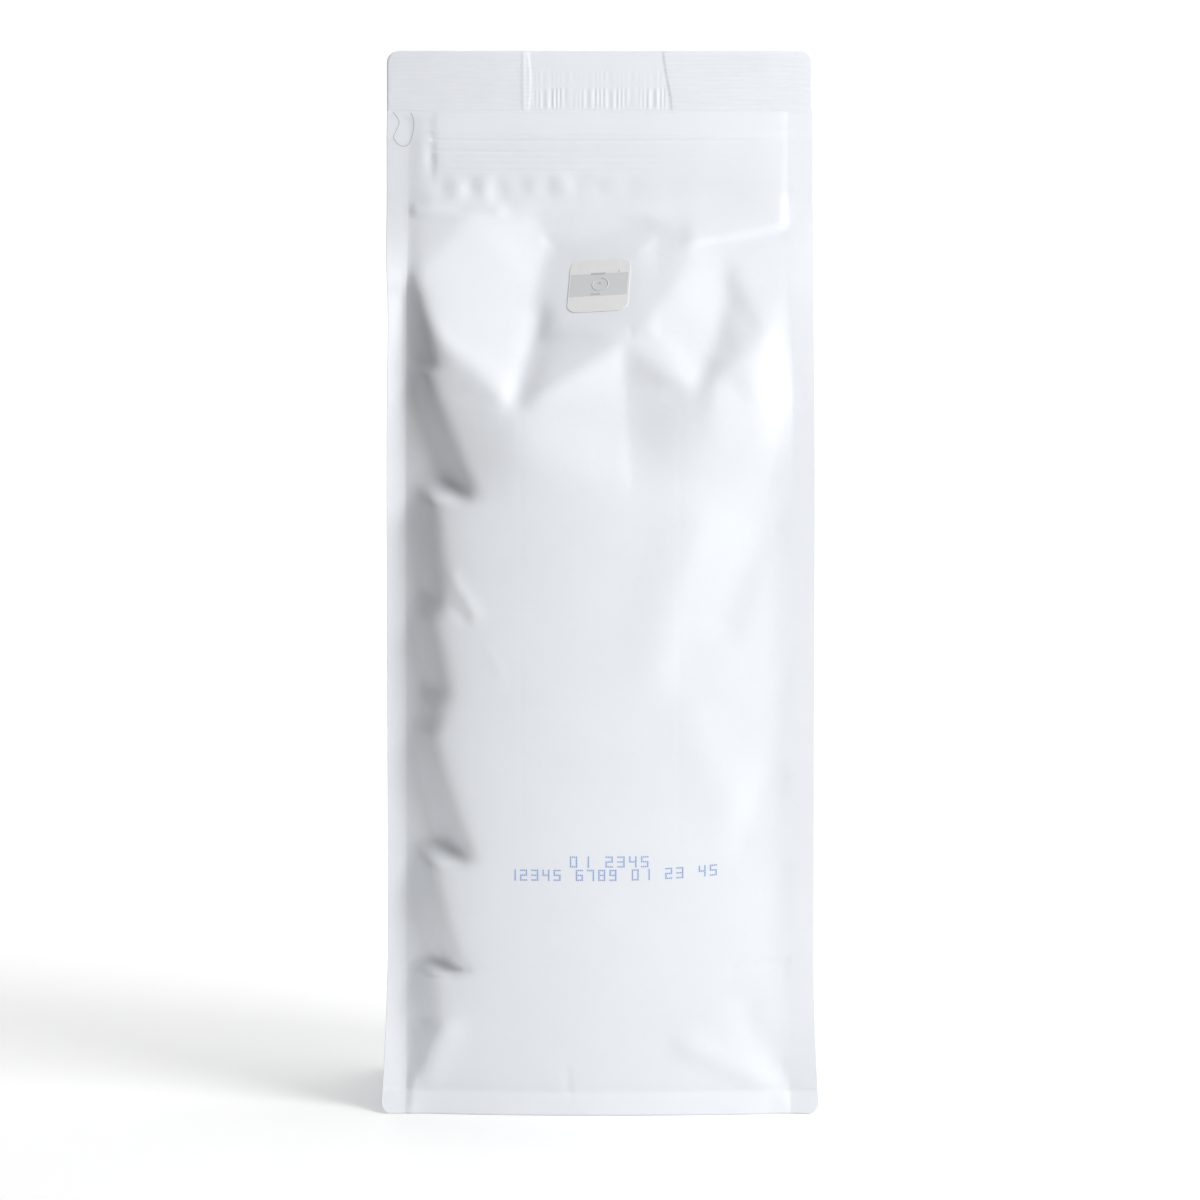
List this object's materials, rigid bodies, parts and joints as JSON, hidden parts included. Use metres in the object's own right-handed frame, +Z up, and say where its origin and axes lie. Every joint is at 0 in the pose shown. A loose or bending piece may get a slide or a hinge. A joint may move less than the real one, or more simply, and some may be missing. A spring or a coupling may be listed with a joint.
{
  "type": "coffee bag",
  "caption": "Filled, sealed flat-bottom pouch with side gussets, sealed edges, a pressed top seal over a zipper pocket, and a degassing valve label on the front.",
  "frame": {"origin": "middle of the foot, on the surface that the bag stands on", "axes": "+X along the bag's width to the right of its valve side, -Y out of the valve side, +Z up"},
  "size_m": [0.1412, 0.1051, 0.343],
  "materials": {
    "film": "white laminated film with a satin matt lacquer, softly creased",
    "label": "thin translucent grey-white polyester label with a slight gloss"
  },
  "bodies": {
    "root": {"bag": "film", "valve_label": "label"}
  },
  "joints": []
}
